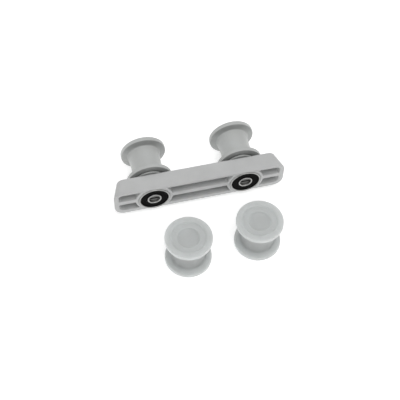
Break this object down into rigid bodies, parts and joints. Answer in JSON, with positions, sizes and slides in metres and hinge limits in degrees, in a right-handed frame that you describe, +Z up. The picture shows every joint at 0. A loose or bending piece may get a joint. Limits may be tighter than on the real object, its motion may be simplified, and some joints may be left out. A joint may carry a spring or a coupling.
{
  "type": "sliding door roller",
  "caption": "Moulded carrier bar whose sealed ball bearings turn short axles with waisted, double-flanged plastic rollers behind it; spare rollers stand loose in front.",
  "frame": {"origin": "under the middle of the whole set's bounding box, at the level of the surface that it lies on", "axes": "+X along the carrier bar, +Y along the roller axles towards the fitted rollers, +Z up"},
  "size_m": [0.0772, 0.0634, 0.0205],
  "materials": {
    "grey_plastic": "moulded, satin",
    "roller_nylon": "natural nylon, slightly translucent",
    "spacer_nylon": "natural nylon",
    "bearing_steel": "ground",
    "ball_steel": "polished",
    "black_rubber": "moulded, matt",
    "cage_polymer": "moulded",
    "axle_steel": "zinc plated, turned"
  },
  "bodies": {
    "carrier": {"carrier_bar": "grey_plastic", "left_bearing_outer_ring": "bearing_steel", "left_bearing_front_seal": "black_rubber", "left_bearing_rear_seal": "black_rubber", "right_bearing_outer_ring": "bearing_steel", "right_bearing_front_seal": "black_rubber", "right_bearing_rear_seal": "black_rubber"},
    "left_wheel": {"left_roller": "roller_nylon", "left_spacer": "spacer_nylon", "left_axle": "axle_steel", "left_bearing_inner_ring": "bearing_steel"},
    "right_wheel": {"right_roller": "roller_nylon", "right_spacer": "spacer_nylon", "right_axle": "axle_steel", "right_bearing_inner_ring": "bearing_steel"},
    "left_ball_set": {"left_bearing_cage": "cage_polymer", "left_bearing_ball_1": "ball_steel", "left_bearing_ball_2": "ball_steel", "left_bearing_ball_3": "ball_steel", "left_bearing_ball_4": "ball_steel", "left_bearing_ball_5": "ball_steel", "left_bearing_ball_6": "ball_steel", "left_bearing_ball_7": "ball_steel"},
    "right_ball_set": {"right_bearing_cage": "cage_polymer", "right_bearing_ball_1": "ball_steel", "right_bearing_ball_2": "ball_steel", "right_bearing_ball_3": "ball_steel", "right_bearing_ball_4": "ball_steel", "right_bearing_ball_5": "ball_steel", "right_bearing_ball_6": "ball_steel", "right_bearing_ball_7": "ball_steel"},
    "spare_left": {"loose_roller_left": "roller_nylon"},
    "spare_right": {"loose_roller_right": "roller_nylon"}
  },
  "joints": [
    {"name": "left_roller_spin", "type": "hinge", "parent": "carrier", "child": "left_wheel", "pos_m": [-0.02075, 0.00977, 0.01025], "axis": [0, 1, 0], "continuous": true},
    {"name": "right_roller_spin", "type": "hinge", "parent": "carrier", "child": "right_wheel", "pos_m": [0.02075, 0.00977, 0.01025], "axis": [0, 1, 0], "continuous": true},
    {"name": "left_ball_set_spin", "type": "hinge", "parent": "carrier", "child": "left_ball_set", "pos_m": [-0.02075, 0.00707, 0.01025], "axis": [0, 1, 0], "continuous": true},
    {"name": "right_ball_set_spin", "type": "hinge", "parent": "carrier", "child": "right_ball_set", "pos_m": [0.02075, 0.00707, 0.01025], "axis": [0, 1, 0], "continuous": true},
    {"name": "spare_left_lift", "type": "slide", "parent": "carrier", "child": "spare_left", "axis": [0, 0, 1], "range_m": [0, 0.025]},
    {"name": "spare_right_lift", "type": "slide", "parent": "carrier", "child": "spare_right", "axis": [0, 0, 1], "range_m": [0, 0.025]}
  ],
  "couplings": [
    {"joint": "left_ball_set_spin", "follows": "left_roller_spin", "ratio": 0.3747},
    {"joint": "right_ball_set_spin", "follows": "right_roller_spin", "ratio": 0.3747}
  ]
}
